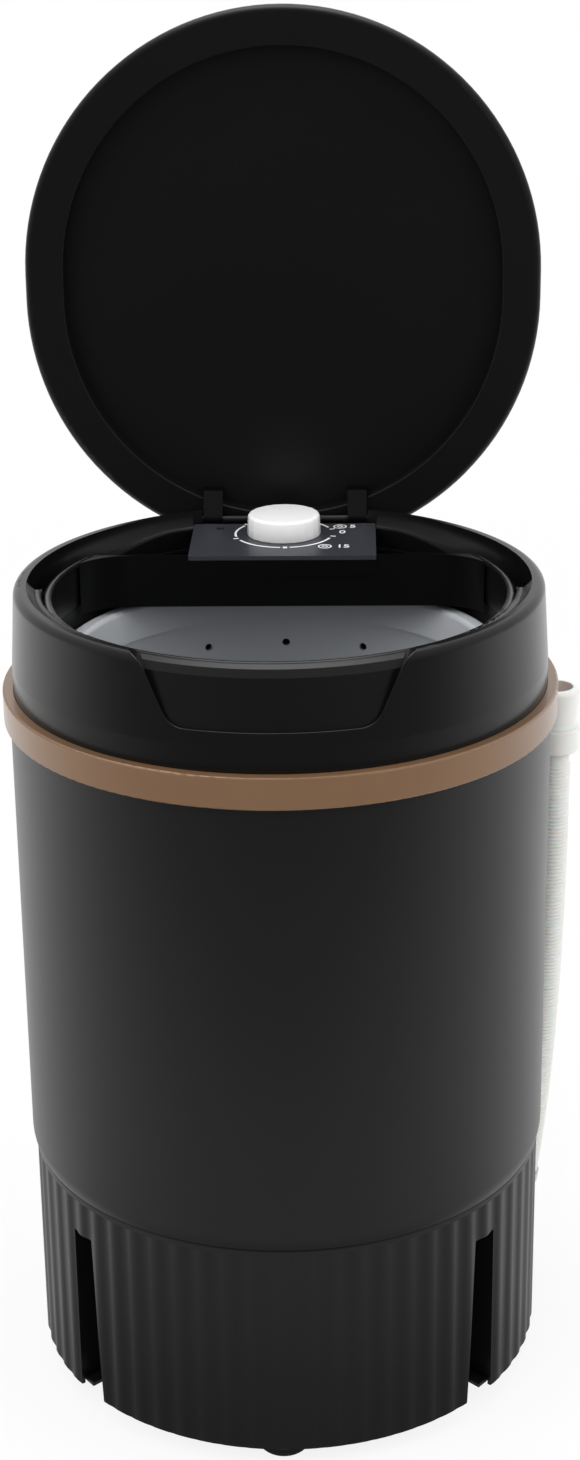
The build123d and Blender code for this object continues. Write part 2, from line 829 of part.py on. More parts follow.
def hinge_arm():
    """Gusset from the knuckle, up past the ring and along the sunk panel."""
    ring, panel = lid_ring_z - seat_gap / 2, lid_ring_z + lid_recess - seat_gap / 2
    step_y = lid_inner_back(hinge_arm_x + hinge_arm_width / 2) - seat_gap
    tip_y = hinge_y - hinge_arm_reach
    rise = ring - hinge_z
    lean = math.atan2(rise, -hinge_arm_reach)
    leave = lean + math.acos(knuckle_radius / math.hypot(hinge_arm_reach, rise))

    def on_knuckle(angle):
        return (
            hinge_y + knuckle_radius * math.cos(angle),
            hinge_z + knuckle_radius * math.sin(angle),
        )

    start = on_knuckle(0)
    face = Plane.YZ * outline(
        start,
        (start[0], ring),
        (step_y, ring),
        (step_y, panel),
        (tip_y, panel),
        (tip_y, ring),
        on_knuckle(leave),
        (on_knuckle((leave + math.tau) / 2), start),
    )
    face -= Plane.YZ * Pos(hinge_y, hinge_z) * Circle(hinge_rod_radius + running_gap)
    return Pos(-hinge_arm_width / 2, 0, 0) * extrude(face, amount=hinge_arm_width)


def make_hinge_arms():
    return [opened(Pos(side * hinge_arm_x, 0, 0) * hinge_arm()) for side in (-1, 1)]


def lid_inner_back(x):
    """Y of the sunk panel's back edge at a place across the lid."""
    radius = lid_radius - lid_ring_width
    return lid_centre_y + lid_straight / 2 + math.sqrt(radius**2 - x**2)


def make_lid_liner():
    top = lid_ring_z + lid_side_height
    shell = lid_slab(0, lid_ring_z, top)
    shell = fillet(shell.edges().group_by(Axis.Z)[0], lid_edge_round)
    shell -= lid_slab(lid_wall, lid_ring_z + lid_wall, top + 1)
    shell += lid_slab(lid_ring_width - lid_wall, lid_ring_z, lid_ring_z + lid_recess + lid_wall)
    shell -= lid_slab(lid_ring_width, lid_ring_z - 1, lid_ring_z + lid_recess)
    inner = lid_radius - lid_ring_width + lid_straight / 2 + 1
    rim = shell.edges().group_by(Axis.Z)[0]
    rim = rim.filter_by(lambda e: math.hypot(e.center().X, e.center().Y - lid_centre_y) < inner)
    return opened(fillet(rim, lid_recess_round))


def make_lid_cover():
    low = lid_ring_z + lid_side_height + seat_gap
    high = low + lid_cover_height
    cover = lid_slab(0, low, high)
    cover = fillet(cover.edges().group_by(Axis.Z)[-1], lid_top_round)
    inner = lid_slab(lid_wall, low - 1, high - lid_wall)
    inner = fillet(inner.edges().group_by(Axis.Z)[-1], lid_top_round - lid_wall)
    return opened(cover - inner)


def make_hinge_rod():
    rod = Rot(0, 90, 0) * Cylinder(hinge_rod_radius, 2 * (pocket_half_width + pocket_wall))
    return Pos(0, hinge_y, hinge_z) * rod


def make_spin_basket():
    inner = basket_radius - basket_wall
    wall_top = basket_top_z - balance_height - seat_gap
    basket = turned(
        (hub_tube_radius + 0.2, basket_floor_z),
        (basket_radius, basket_floor_z),
        (basket_radius, wall_top),
        (inner, wall_top),
        (inner, basket_floor_z + basket_wall),
        (hub_tube_radius + 0.2, basket_floor_z + basket_wall),
    )
    low = basket_floor_z + 30
    pitch = (wall_top - 20 - low) / (basket_hole_rows - 1)
    drills = []
    for row in range(basket_hole_rows):
        for column in range(basket_hole_columns // 2):
            azimuth = column * 360 / basket_hole_columns
            place = facing(0, azimuth, low + row * pitch)
            drills.append(place * Cylinder(basket_hole_radius, 2 * basket_radius + 10))
    return basket - drills


def make_balance_ring():
    low = basket_top_z - balance_height
    ring = tube(basket_radius, basket_radius - balance_width, low, basket_top_z)
    return fillet(ring.edges().group_by(Axis.Z)[-1], 3)


def make_basket_hub():
    tube_foot = housing_foot_z - 2
    hub = post(hub_tube_radius - 0.03, tube_foot, basket_floor_z + basket_wall)
    hub += post(45, basket_floor_z - 6, basket_floor_z - rest_gap / 3)
    return hub - post(shaft_radius + running_gap, tube_foot - 1, basket_floor_z + 10)


def make_drive_shaft():
    pulsator_seat = basket_floor_z + basket_wall + 6
    shaft = post(shaft_radius, belt_z - pulley_width / 2 - 14, pulsator_seat)
    shaft += post(shaft_radius - 2, pulsator_seat - 1, pulsator_seat + 18)
    return shaft - post(screw_radius, pulsator_seat, pulsator_seat + 20)


def make_pulsator():
    low = basket_floor_z + basket_wall + 4
    seat = basket_floor_z + basket_wall + 6
    top = low + pulsator_rise
    disc = turned(
        (0, low),
        (pulsator_radius, low),
        corner_arc((pulsator_radius, low), (pulsator_radius, low + 4), 1.5),
        (30, low + 9),
        corner_arc((30, low + 9), (18, top), -3),
        (0, top),
    )
    for i in range(pulsator_vanes):
        vane = Rot(0, 0, i * 360 / pulsator_vanes) * block(
            14, pulsator_radius - 8, -5, 5, low + 2, low + 15
        )
        disc += fillet(vane.edges().filter_by(Axis.X).group_by(Axis.Z)[-1], 4) if i == 0 else vane
    disc -= post(shaft_radius + 0.1, low - 1, seat)
    disc -= post(shaft_radius - 2 + 0.05, low - 1, seat + 18.2)
    return disc - post(screw_radius + 0.2, seat, top + 1)


def make_pulsator_screw():
    top = basket_floor_z + basket_wall + 4 + pulsator_rise
    return screw(top, basket_floor_z + basket_wall + 10, head=7.0)


def pulley(rim, bore, hub):
    """V-groove pulley on the Z axis, centred on the belt."""
    half, lip = pulley_width / 2, belt_width / 2
    floor = rim - groove_depth
    wheel = turned(
        (bore, -half),
        (rim, -half),
        (rim, -lip - 1.5),
        (floor, -lip),
        (floor, lip),
        (rim, lip + 1.5),
        (rim, half),
        (bore, half),
    )
    return wheel + tube(hub, bore, -half - 3, half)


def make_drive_pulley():
    wheel = pulley(pulley_radius, shaft_radius + running_gap, 16)
    for i in range(5):
        wheel -= at(pulley_radius * 0.58, i * 72) * Cylinder(10, 40)
    return Pos(0, 0, belt_z) * wheel


def make_pulley_nut():
    nut = extrude(RegularPolygon(12, 6), amount=7) - Cylinder(shaft_radius + running_gap, 40)
    return Pos(0, 0, belt_z - pulley_width / 2 - 3 - 7 - rest_gap / 3) * nut


def make_motor_pulley():
    wheel = pulley(motor_pulley_radius, motor_shaft_radius + running_gap, 9)
    return at(motor_offset, motor_azimuth, belt_z) * wheel


def make_drive_belt():
    inner = [pulley_radius - groove_depth + rest_gap, motor_pulley_radius - groove_depth + rest_gap]
    x, y = heading(motor_azimuth)
    x, y = motor_offset * x, motor_offset * y

    def loop(grow):
        rounds = Circle(inner[0] + grow).edges() + (Pos(x, y) * Circle(inner[1] + grow)).edges()
        return extrude(make_hull(rounds), amount=belt_width)

    return Pos(0, 0, belt_z - belt_width / 2) * (loop(groove_depth - 0.5) - loop(0))


def make_bearing_housing():
    low, top = housing_foot_z, housing_top_z
    bore = bearing_radius
    body = turned(
        (bore, low),
        (housing_radius + 12, low),
        (housing_radius + 12, low + plate_thickness),
        (housing_radius, low + plate_thickness),
        (housing_radius, top - plate_thickness),
        (housing_flange_radius, top - plate_thickness),
        (housing_flange_radius, top),
        (bore, top),
    )
    body += tube(bore + 1, bore - 3, low + bearing_width + 3, top - bearing_width - 22)
    for azimuth in housing_screw_azimuths:
        body -= at(housing_screw_circle, azimuth) * post(screw_radius + 0.2, top - 5, top + 1)
    for azimuth in bracket_bolt_azimuths:
        body -= at(bracket_bolt_circle, azimuth) * post(bolt_radius, low - 1, low + 5)
    return body


def make_bearing_screws():
    one = screw(housing_top_z - plate_thickness, tub_floor_z + tub_wall - 0.5, head_up=False)
    under = screw(bracket_z, housing_foot_z + 2.8, head_up=False, radius=bolt_radius)
    screws = [at(housing_screw_circle, azimuth) * one for azimuth in housing_screw_azimuths]
    return screws + [at(bracket_bolt_circle, azimuth) * under for azimuth in bracket_bolt_azimuths]


def make_lower_bearing():
    low = housing_foot_z + 2
    return tube(bearing_radius - 0.02, hub_tube_radius, low, low + bearing_width)


def make_upper_bearing():
    high = housing_top_z - 21 - 1
    return tube(bearing_radius - 0.02, hub_tube_radius, high, high + bearing_width)


def make_shaft_seal():
    low = housing_top_z - 9
    return tube(bearing_radius - 0.02, hub_tube_radius, low, low + 8)


def motor_corner_places():
    centre = at(motor_offset, motor_azimuth)
    reach = motor_radius - 3
    return [centre * Pos(sx * reach, sy * reach) for sx in (-1, 1) for sy in (-1, 1)]


def make_motor_bracket():
    x, y = heading(motor_azimuth)
    centre = Pos(motor_offset * x, motor_offset * y)
    side = 2 * (motor_radius - 3 + bush_radius)
    pad = centre * Rectangle(side, side)
    plate = extrude(make_hull(Circle(housing_radius + 13).edges() + pad.edges()), amount=plate_thickness)
    plate -= post(24, -1, 10)
    plate -= centre * post(20, -1, 10)
    for place in motor_corner_places():
        plate -= place * post(bush_radius - 2.4, -1, 10)
    for azimuth in bracket_bolt_azimuths:
        plate -= at(bracket_bolt_circle, azimuth) * post(bolt_radius + 0.2, -1, 10)
    return Pos(0, 0, bracket_z) * plate


def make_motor_bushes():
    z, t = bracket_z, plate_thickness
    bush = post(bush_radius, z - 3, z - 0.1) + post(bush_radius, z + t + 0.1, motor_z - 0.1)
    bush += post(bush_radius - 2.5, z - 1, z + t + 1)
    bush -= post(bolt_radius + 0.1, z - 10, motor_z + 10)
    return [place * bush for place in motor_corner_places()]


def make_motor():
    side = 2 * motor_radius + 10
    base = extrude(RectangleRounded(side, side, 6), amount=plate_thickness)
    can = Pos(0, 0, plate_thickness - 1) * Cylinder(
        motor_radius, motor_height, align=(Align.CENTER, Align.CENTER, Align.MIN)
    )
    can = fillet(can.edges().group_by(Axis.Z)[-1], 4)
    solid = at(motor_offset, motor_azimuth, motor_z) * (base + can)
    bore = post(motor_shaft_radius + running_gap, motor_z - 5, motor_z + motor_height - 8)
    solid -= at(motor_offset, motor_azimuth) * bore
    for place in motor_corner_places():
        solid -= place * post(bolt_radius, motor_z - 1, motor_z + plate_thickness + 1)
    return solid


def make_motor_bolts():
    bolt = screw(bracket_z - 3.1, motor_z + plate_thickness - 0.2, head_up=False, radius=bolt_radius)
    return [place * bolt for place in motor_corner_places()]


def make_motor_shaft():
    low, high = belt_z - pulley_width / 2 - 4, motor_z + motor_height - 9
    return at(motor_offset, motor_azimuth) * post(motor_shaft_radius, low, high)


def make_capacitor():
    can = post(capacitor_radius, pan_top_z + rest_gap, pan_top_z + capacitor_height)
    can = fillet(can.edges().group_by(Axis.Z)[-1], 2)
    return Pos(*capacitor_place) * can


def make_capacitor_clip():
    low = pan_top_z + 24
    inner = capacitor_radius + seat_gap
    clip = tube(inner + 1.6, inner, low, low + 10)
    clip += block(inner + 0.2, inner + 3, -5, 5, pan_top_z + seat_gap, low + 10)
    clip += block(inner + 0.2, inner + 16, -5, 5, pan_top_z + seat_gap, pan_top_z + 2)
    return Pos(*capacitor_place) * clip


def hose_start():
    """Mouth of the outlet, and the direction in which the hose leaves it."""
    start = Vector(*hose_points[0])
    return start, (Vector(*hose_points[1]) - start).normalized()


def outlet_elbow():
    start, along = hose_start()
    return start - along * ((start.Z - outlet_z) / along.Z)


outlet_azimuth = math.degrees(math.atan2(outlet_elbow().X, -outlet_elbow().Y))
hose_azimuth = math.degrees(math.atan2(hose_points[-1][0], -hose_points[-1][1]))
nut_foot_z = hose_points[-1][2]
spout_foot_z = nut_foot_z + nut_height
spout_top_z = spout_foot_z + spout_height
clip_screw_z = (spout_top_z + band_foot_z) / 2


def hose_path():
    """Straight runs joined by tangent arcs."""
    print("hose bend radius in diameters", round(hose_bend / (2 * hose_radius), 1))
    return FilletPolyline(*hose_points, radius=hose_bend)


def hose_plane(path, distance):
    """Plane square to the hose at a distance along it, with a steady X axis."""
    share = distance / path.length
    point, along = path @ share, path % share
    side = Vector(hose_points[1]) - Vector(hose_points[0])
    steady = Vector(side.Y, -side.X, 0).normalized()
    return Plane(origin=point, x_dir=steady - along * steady.dot(along), z_dir=along)


def make_drain_hose():
    path = hose_path()
    ribs = int((path.length - 2 * hose_cuff) / rib_pitch)
    first = (path.length - ribs * rib_pitch) / 2
    stations = [(0.0, hose_radius), (first - 1, hose_radius)]
    for i in range(ribs):
        base = first + i * rib_pitch
        stations.append((base, hose_radius - rib_depth))
        stations.append((base + 0.30 * rib_pitch, hose_radius))
        stations.append((base + 0.65 * rib_pitch, hose_radius))
        stations.append((base + 0.95 * rib_pitch, hose_radius - rib_depth))
    stations.append((path.length - first + 1, hose_radius))
    stations.append((path.length, hose_radius))
    sections = [hose_plane(path, d) * Circle(r) for d, r in stations]
    outer = loft(sections, ruled=True)
    bore = sweep(hose_plane(path, 0) * Circle(hose_bore), path)
    hose = outer - bore
    expected = math.pi * ((hose_radius - rib_depth * 0.4) ** 2 - hose_bore**2) * path.length
    print("hose length", round(path.length, 1), "ribs", ribs)
    print("hose volume", round(hose.volume), "from its section", round(expected))
    return hose


def hose_top():
    return Pos(hose_points[-1][0], hose_points[-1][1], 0)


def make_hose_nut():
    nut = tube(nut_radius, hose_bore, nut_foot_z, spout_foot_z - seat_gap / 2)
    nut = fillet(nut.edges().filter_by(GeomType.CIRCLE).sort_by(SortBy.RADIUS)[-2:], 1.5)
    return hose_top() * nut


def make_hose_spout():
    foot, top = spout_foot_z, spout_top_z
    spout = turned(
        (hose_bore, foot),
        (nut_radius - 1, foot),
        (spout_waist, foot + 3),
        (spout_radius, top - 4),
        corner_arc((spout_radius, top - 4), (spout_radius - 3, top), 0.9),
        (spout_bore, top),
        (spout_bore, foot + 6),
        (hose_bore, foot + 6),
    )
    return hose_top() * spout


def make_hose_clip():
    """Saddle behind the spout on a pad that follows the cabinet's side."""
    low = spout_foot_z + 8
    inner = spout_radius + seat_gap
    saddle = hose_top() * tube(inner + clip_wall, inner, low, low + 12)
    away = hose_top() * Rot(0, 0, hose_azimuth - 90) * block(0, 60, -60, 60, 0, 600)
    near_front = hose_top() * Rot(0, 0, hose_azimuth - 90) * block(-60, 60, -60, -9, 0, 600)
    saddle = saddle - away - near_front
    pad = turned(
        (body_radius + seat_gap, low),
        (body_radius + seat_gap + clip_wall, low),
        (body_radius + seat_gap + clip_wall, band_foot_z - rest_gap),
        (body_radius + seat_gap, band_foot_z - rest_gap),
        start=hose_azimuth - 2.2,
        sweep=4.4,
    )
    pad -= hose_top() * post(inner, 0, spout_top_z + 1)
    hole = facing(body_radius, hose_azimuth, clip_screw_z) * Cylinder(screw_radius + 0.1, 20)
    return (saddle + pad - post(body_radius + seat_gap, 0, 600)) - hole


def make_clip_screw():
    seat = body_radius + seat_gap + clip_wall + 0.1
    return facing(seat, hose_azimuth, clip_screw_z) * screw(0, -7)


def make_drain_outlet():
    """Elbow from under the tub, out through the skirt and round to the hose."""
    pipe, bore = hose_bore - 0.1, hose_bore - pipe_wall
    x, y = heading(outlet_azimuth)
    start, along = hose_start()
    top = Vector(port_circle * x, port_circle * y, outlet_top_z)
    knee = Vector(top.X, top.Y, outlet_z)
    tip = start + along * spigot_length
    elbow = outlet_elbow()
    wall = Vector(skirt_radius * x, skirt_radius * y, outlet_z)

    def run(radius, *points):
        path = FilletPolyline(*points, radius=outlet_bend)
        first = (points[1] - points[0]).normalized()
        return sweep(Plane(origin=points[0], z_dir=first) * Circle(radius), path)

    solid = run(pipe, top, knee, elbow, tip) + run(hose_radius, wall, elbow, start)
    solid += facing(skirt_radius + seat_gap, outlet_azimuth, outlet_z) * post(outlet_radius, 0, 3)
    return solid - run(bore, top, knee, elbow, tip)


def make_drain_tube():
    low, high = outlet_top_z - spigot_length, tub_floor_z - seat_gap
    return at(port_circle, outlet_azimuth) * tube(hose_radius, hose_bore, low, high)


def make_hose_clamp():
    start, along = hose_start()
    plane = Plane(origin=start + along * 5, z_dir=along)
    inner = hose_radius + seat_gap / 2
    clamp = tube(inner + 1, inner, 0, 8)
    clamp += block(inner + 0.2, inner + 6, -2.5, 2.5, 0, 8)
    return plane * clamp


def make_cord_gland():
    inner = skirt_inner - 8
    bush = Cylinder(gland_radius, skirt_radius + seat_gap - inner + 1, align=(Align.CENTER, Align.CENTER, Align.MIN))
    flange = Pos(0, 0, skirt_radius + seat_gap - inner) * Cylinder(
        gland_radius + 4, 3, align=(Align.CENTER, Align.CENTER, Align.MIN)
    )
    flange = fillet(flange.edges().group_by(Axis.Z)[-1], 1)
    return facing(inner, gland_azimuth, gland_z) * (bush + flange - Cylinder(gland_bore, 80))


MAKERS = {
    "collar": make_collar,
    "trim_band": make_trim_band,
    "body_shell": make_body_shell,
    "base_skirt": make_base_skirt,
    "base_pan": make_base_pan,
    "rubber_feet": make_rubber_feet,
    "foot_screws": make_foot_screws,
    "pan_screws": make_pan_screws,
    "wash_tub": make_wash_tub,
    "tub_screws": make_tub_screws,
    "tub_ring": make_tub_ring,
    "control_housing": make_control_housing,
    "control_panel": make_control_panel,
    "timer_body": make_timer_body,
    "timer_screws": make_timer_screws,
    "timer_shaft": make_timer_shaft,
    "timer_knob": make_timer_knob,
    "lid_switch": make_lid_switch,
    "lid_switch_button": make_lid_switch_button,
    "lid_liner": make_lid_liner,
    "lid_cover": make_lid_cover,
    "hinge_arms": make_hinge_arms,
    "hinge_rod": make_hinge_rod,
    "spin_basket": make_spin_basket,
    "balance_ring": make_balance_ring,
    "basket_hub": make_basket_hub,
    "pulsator": make_pulsator,
    "pulsator_screw": make_pulsator_screw,
    "drive_shaft": make_drive_shaft,
    "drive_pulley": make_drive_pulley,
    "pulley_nut": make_pulley_nut,
    "bearing_housing": make_bearing_housing,
    "bearing_screws": make_bearing_screws,
    "lower_bearing": make_lower_bearing,
    "upper_bearing": make_upper_bearing,
    "shaft_seal": make_shaft_seal,
    "motor_bracket": make_motor_bracket,
    "motor_bushes": make_motor_bushes,
    "motor_bolts": make_motor_bolts,
    "motor": make_motor,
    "motor_shaft": make_motor_shaft,
    "motor_pulley": make_motor_pulley,
    "drive_belt": make_drive_belt,
    "capacitor": make_capacitor,
    "capacitor_clip": make_capacitor_clip,
    "drain_hose": make_drain_hose,
    "hose_nut": make_hose_nut,
    "hose_spout": make_hose_spout,
    "hose_clip": make_hose_clip,
    "clip_screw": make_clip_screw,
    "drain_outlet": make_drain_outlet,
    "drain_tube": make_drain_tube,
    "hose_clamp": make_hose_clamp,
    "cord_gland": make_cord_gland,
}

os.makedirs("parts", exist_ok=True)
for name, maker in MAKERS.items():
    shape = maker()
    if isinstance(shape, list):
        shape = Compound(children=[Part() + piece for piece in shape])
    export_step(shape, f"parts/{name}.step")
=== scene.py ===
# %% [markdown]
# # A portable washing machine, dressed for its picture
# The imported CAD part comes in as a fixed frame: a round black cabinet with a fluted skirt, a bronze
# band, a lid that stands open and a control box across the back of the mouth. Every piece made
# below is in metres, in that same frame: the origin is on the floor on the tub's axis, the front
# faces -Y and +Z is up. Nothing of the frame is moved. Some nodes only get a better finish, and
# some are hidden and replaced by a finer surface.

import json
import math

import bpy
import numpy as np
from mathutils import Matrix, Vector

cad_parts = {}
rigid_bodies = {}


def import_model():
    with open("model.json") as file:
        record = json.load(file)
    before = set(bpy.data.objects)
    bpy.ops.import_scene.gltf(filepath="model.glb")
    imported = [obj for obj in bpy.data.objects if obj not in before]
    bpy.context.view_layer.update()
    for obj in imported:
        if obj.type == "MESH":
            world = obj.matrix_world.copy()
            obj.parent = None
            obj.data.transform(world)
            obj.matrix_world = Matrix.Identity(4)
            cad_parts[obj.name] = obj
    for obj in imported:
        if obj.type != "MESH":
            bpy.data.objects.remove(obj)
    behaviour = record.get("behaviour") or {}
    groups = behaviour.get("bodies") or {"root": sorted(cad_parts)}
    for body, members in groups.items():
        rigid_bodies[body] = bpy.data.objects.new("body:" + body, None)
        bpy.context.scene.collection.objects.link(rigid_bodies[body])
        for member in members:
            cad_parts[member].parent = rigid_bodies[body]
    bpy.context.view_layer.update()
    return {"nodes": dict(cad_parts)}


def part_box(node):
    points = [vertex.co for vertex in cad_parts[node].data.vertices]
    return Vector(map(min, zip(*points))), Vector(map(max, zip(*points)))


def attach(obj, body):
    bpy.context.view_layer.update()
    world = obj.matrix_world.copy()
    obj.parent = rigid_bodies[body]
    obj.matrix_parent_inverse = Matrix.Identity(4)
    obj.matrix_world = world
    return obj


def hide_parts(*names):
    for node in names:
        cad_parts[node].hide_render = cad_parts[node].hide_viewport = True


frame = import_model()
nodes = frame["nodes"]

# %% [markdown]
# ## The camera
# The picture was taken from a little above the rim and from a step back, so the round top shows as
# an ellipse. A lens of about 62 mm on a 36 mm sensor gives that amount of perspective. The
# orientation is built from a turn about the vertical, a tilt down and a very small roll, because
# those three are what a photographer would set on a tripod.

# %% Camera
camera_place = Vector((0.04753, -1.49926, 1.0166))
camera_turn = math.radians(1.6)
camera_tilt = 0.3671
camera_roll = -0.0133
camera_lens = 61.80


def camera_axes(turn, tilt, roll):
    """Right, up and back directions: tilt lowers the view, roll turns the picture, turn swings it."""
    right = Vector((1, 0, 0))
    up = Vector((0, math.sin(tilt), math.cos(tilt)))
    back = Vector((0, -math.cos(tilt), math.sin(tilt)))
    rolled_right = right * math.cos(roll) + up * math.sin(roll)
    rolled_up = up * math.cos(roll) - right * math.sin(roll)
    swing = Matrix.Rotation(turn, 3, "Z")
    return [swing @ axis for axis in (rolled_right, rolled_up, back)]


camera = bpy.data.objects.new("camera", bpy.data.cameras.new("camera"))
bpy.context.scene.collection.objects.link(camera)
camera.data.sensor_width = 36
camera.data.lens = camera_lens
camera.data.clip_start, camera.data.clip_end = 0.05, 60
axes = camera_axes(camera_turn, camera_tilt, camera_roll)
camera.matrix_world = Matrix.Translation(camera_place) @ Matrix(axes).transposed().to_4x4()
bpy.context.scene.camera = camera
bpy.context.scene.view_settings.view_transform = "Standard"
print("camera looks along", [round(x, 3) for x in -axes[2]])

# %% [markdown]
# ## Surfaces from arrays
# Each new piece is a surface worked out as a whole array of points: two numbers say where on the
# surface a point is, and a formula gives its place. The helper below turns such an array into a
# mesh, one four-sided face for each cell of the grid. Where the grid closes on itself the last row
# joins the first, so the piece has no open edge.


# %% Mesh helpers
def mesh_object(name, points, faces, body, smooth=True):
    """Object from an array of points and a list or array of corner numbers, riding on a body."""
    mesh = bpy.data.meshes.new(name)
    corners = faces.tolist() if isinstance(faces, np.ndarray) else faces
    mesh.from_pydata(np.asarray(points).reshape(-1, 3), [], corners)
    mesh.polygons.foreach_set("use_smooth", np.full(len(mesh.polygons), smooth))
    mesh.update()
    piece = bpy.data.objects.new(name, mesh)
    bpy.context.scene.collection.objects.link(piece)
    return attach(piece, body)


def grid_faces(rows, columns, wrap_rows=False, wrap_columns=False):
    """Corner numbers of every cell of a grid, its last line joined to the first where it wraps."""
    r = np.arange(rows if wrap_rows else rows - 1)[:, None]
    c = np.arange(columns if wrap_columns else columns - 1)[None, :]
    r_next, c_next = (r + 1) % rows, (c + 1) % columns
    corners = [r * columns + c, r * columns + c_next, r_next * columns + c_next, r_next * columns + c]
    return np.stack(np.broadcast_arrays(*corners), axis=-1).reshape(-1, 4)


def volume_of(piece):
    """Signed volume in cubic centimetres: positive where a closed piece's faces point outwards."""
    mesh = piece.data
    mesh.calc_loop_triangles()
    co = np.empty(len(mesh.vertices) * 3)
    mesh.vertices.foreach_get("co", co)
    corner = np.empty(len(mesh.loop_triangles) * 3, int)
    mesh.loop_triangles.foreach_get("vertices", corner)
    a, b, c = np.moveaxis(co.reshape(-1, 3)[corner.reshape(-1, 3)], 1, 0)
    return round(float(np.einsum("ij,ij->i", a, np.cross(b, c)).sum()) / 6 * 1e6, 2)


# %% [markdown]
# ## The drain hose
# On the right side a ribbed hose of cloudy plastic comes up from the outlet low in the skirt and
# stands nearly upright to its nut. Such hose is blown over a corrugated mould, so its wall swells
# and narrows every few millimetres and its two ends stay plain to take a clamp. Its middle line
# is one smooth curve through a few listed points, and the wall is a circle carried along
# that line, wider on a crest and narrower in a valley.

# %% Hose line
hose_route = [(0.1654, 0.0785, 0.0600), (0.1816, 0.0579, 0.1912), (0.1803, 0.0582, 0.4040)]
hose_radius = 0.0105
hose_bore = 0.0080
hose_cuff = 0.009
rib_pitch = 0.0027
rib_depth = 0.0009


def smooth_line(name, route):
    """Points of the NURBS curve that has the route as its control points."""
    curve = bpy.data.curves.new(name, "CURVE")
    curve.dimensions = "3D"
    curve.resolution_u = 200
    spline = curve.splines.new("NURBS")
    spline.points.add(len(route) - 1)
    spline.points.foreach_set("co", np.c_[np.array(route), np.ones(len(route))].ravel())
    spline.order_u = 3
    spline.use_endpoint_u = True
    holder = bpy.data.objects.new(name, curve)
    mesh = bpy.data.meshes.new_from_object(holder)
    line = np.empty(len(mesh.vertices) * 3)
    mesh.vertices.foreach_get("co", line)
    for block, store in ((holder, bpy.data.objects), (curve, bpy.data.curves), (mesh, bpy.data.meshes)):
        store.remove(block)
    return line.reshape(-1, 3)


def along(line, distances):
    """Points of a line at distances from its start, and the line's direction there."""
    steps = np.r_[0, np.cumsum(np.linalg.norm(np.diff(line, axis=0), axis=1))]
    heading = np.gradient(line, axis=0)
    place = np.stack([np.interp(distances, steps, line[:, k]) for k in range(3)], axis=1)
    way = np.stack([np.interp(distances, steps, heading[:, k]) for k in range(3)], axis=1)
    return place, way / np.linalg.norm(way, axis=1, keepdims=True)


hose_line = smooth_line("hose_line", hose_route)
line_length = float(np.linalg.norm(np.diff(hose_line, axis=0), axis=1).sum())
print("hose line", len(hose_line), "points,", round(line_length, 4), "m long")


# %% Ribbed wall
def ribbed_hose(line, length, around=40, per_rib=8):
    """Tube along a line. Outside, the radius falls by the rib's depth in a narrow valley once a
    pitch: depth times a raised cosine to the power 1.5. Inside, the bore is plain, the ends flat."""
    ribs = int((length - 2 * hose_cuff) / rib_pitch)
    start = (length - ribs * rib_pitch) / 2
    ribbed = start + np.arange(ribs * per_rib + 1) * rib_pitch / per_rib
    valley = (0.5 + 0.5 * np.cos(2 * np.pi * (ribbed - start) / rib_pitch)) ** 1.5
    outside = np.r_[0, ribbed, length]
    radius = np.r_[hose_radius - 0.0004, hose_radius - rib_depth * valley, hose_radius - 0.0004]
    inside = np.linspace(length, 0, 40)
    stations = np.r_[outside, inside]
    radius = np.r_[radius, np.full(len(inside), hose_bore)]
    place, way = along(line, stations)
    side = np.cross(way, [0, 1, 0])
    side /= np.linalg.norm(side, axis=1, keepdims=True)
    other = np.cross(way, side)
    turn = np.linspace(0, 2 * np.pi, around, endpoint=False)[None, :, None]
    ring = np.cos(turn) * side[:, None, :] + np.sin(turn) * other[:, None, :]
    points = place[:, None, :] + radius[:, None, None] * ring
    print("ribs", ribs, "stations", len(stations))
    return points, grid_faces(len(stations), around, wrap_rows=True, wrap_columns=True), place[: len(outside)]


hose_points, hose_faces, hose_centres = ribbed_hose(hose_line, line_length)
ribbed = mesh_object("ribbed_hose", hose_points, hose_faces, "cabinet")
if volume_of(ribbed) < 0:
    ribbed.data.flip_normals()
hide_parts("drain_hose")
print("hose volume", volume_of(ribbed))

# %% [markdown]
# ## Shared effects
# Moulded plastic is never one flat colour. The mould's steel leaves a fine grain, the melt leaves
# slow cloudy patches where it flowed, and handling leaves a faint haze. These effects are used by
# several finishes, so each is a node group that is built once and placed with its own numbers.


# %% Node helpers
def new_group(name, inputs, outputs):
    """Empty node group with float inputs (name, default) and named float outputs."""
    group = bpy.data.node_groups.new(name, "ShaderNodeTree")
    for label, value in inputs:
        socket = group.interface.new_socket(label, in_out="INPUT", socket_type="NodeSocketFloat")
        socket.default_value = value
    for label in outputs:
        group.interface.new_socket(label, in_out="OUTPUT", socket_type="NodeSocketFloat")
    return group, group.nodes.new("NodeGroupInput"), group.nodes.new("NodeGroupOutput")


def add(tree, kind, **settings):
    """New node with its properties and plain socket values set by name."""
    node = tree.nodes.new(kind)
    for key, value in settings.items():
        if hasattr(node, key):
            setattr(node, key, value)
        else:
            node.inputs[key.replace("_", " ")].default_value = value
    return node


def math_node(tree, operation, first, second, clamp=False):
    """Math node on two values, each a socket or a number."""
    node = tree.nodes.new("ShaderNodeMath")
    node.operation, node.use_clamp = operation, clamp
    for slot, value in enumerate((first, second)):
        if isinstance(value, (int, float)):
            node.inputs[slot].default_value = value
        else:
            tree.links.new(value, node.inputs[slot])
    return node.outputs[0]


